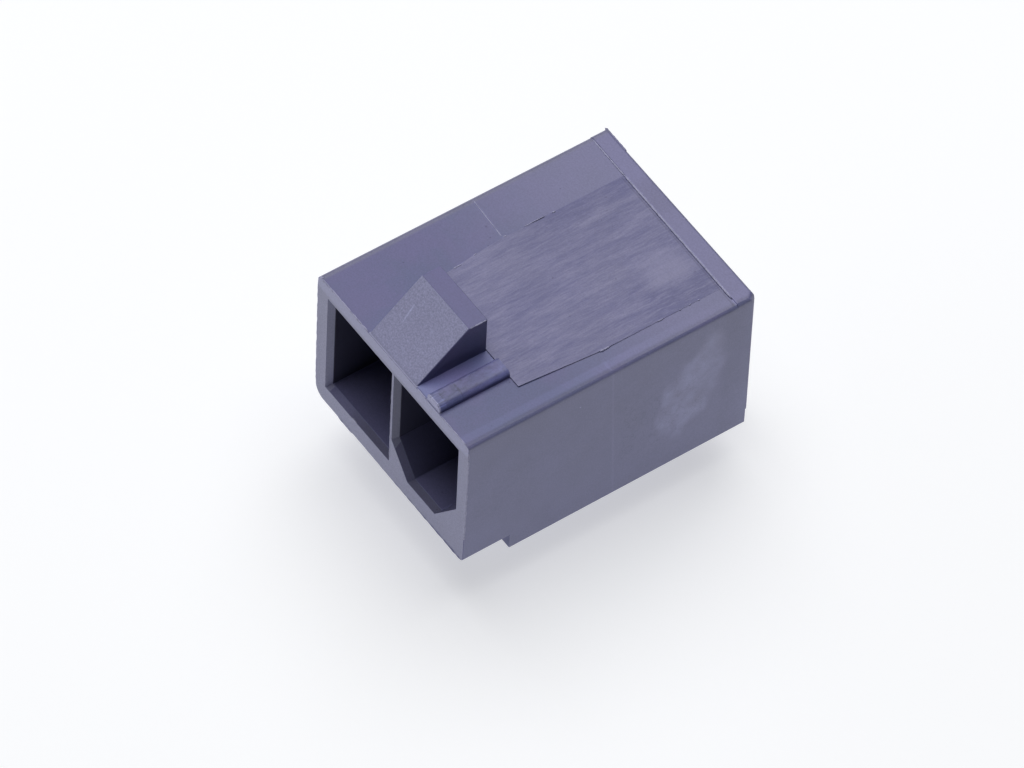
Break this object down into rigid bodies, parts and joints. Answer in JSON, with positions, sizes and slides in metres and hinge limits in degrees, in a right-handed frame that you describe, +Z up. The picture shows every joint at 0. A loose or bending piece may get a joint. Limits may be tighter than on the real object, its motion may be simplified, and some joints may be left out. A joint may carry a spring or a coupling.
{
  "type": "right-angle pin header",
  "caption": "Right-angle circuit-board power header: a moulded housing with a walled pocket and a round contact pin for each circuit, and a latch ramp on top.",
  "frame": {"origin": "on the circuit board's top surface, midway between the two solder tails", "axes": "+X along the row to the right as seen from the mating face, +Y away from the mating face, +Z up from the board"},
  "size_m": [0.0171, 0.0251, 0.0197],
  "materials": {
    "housing_plastic": "as moulded, fine satin",
    "contact_metal": "tin plated"
  },
  "bodies": {
    "root": {"housing": "housing_plastic", "contact_pin_1": "contact_metal", "contact_pin_2": "contact_metal"}
  },
  "joints": []
}
